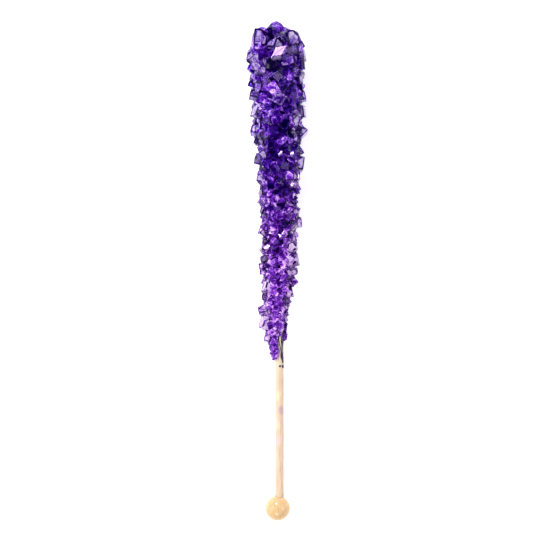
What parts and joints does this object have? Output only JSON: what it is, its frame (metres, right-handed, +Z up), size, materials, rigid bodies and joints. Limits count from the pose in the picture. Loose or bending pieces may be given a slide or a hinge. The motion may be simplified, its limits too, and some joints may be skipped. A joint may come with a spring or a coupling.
{
  "type": "rock candy stick",
  "caption": "Sugar crystals grown in a long purple cluster on a wooden stick that ends in a small turned bead.",
  "frame": {"origin": "middle of the bounding box in X and Y, on the surface that the stick lies on", "axes": "+X from the bead to the tip of the candy, +Z up, away from the surface"},
  "size_m": [0.1684, 0.0214, 0.0185],
  "materials": {
    "sugar_crystal": "clear purple sugar crystals with bright flat faces",
    "stick_wood": "plain pale birch dowel",
    "bead_wood": "smooth turned wood, lightly waxed"
  },
  "bodies": {
    "root": {"candy": "sugar_crystal", "stick": "stick_wood", "bead": "bead_wood"}
  },
  "joints": []
}
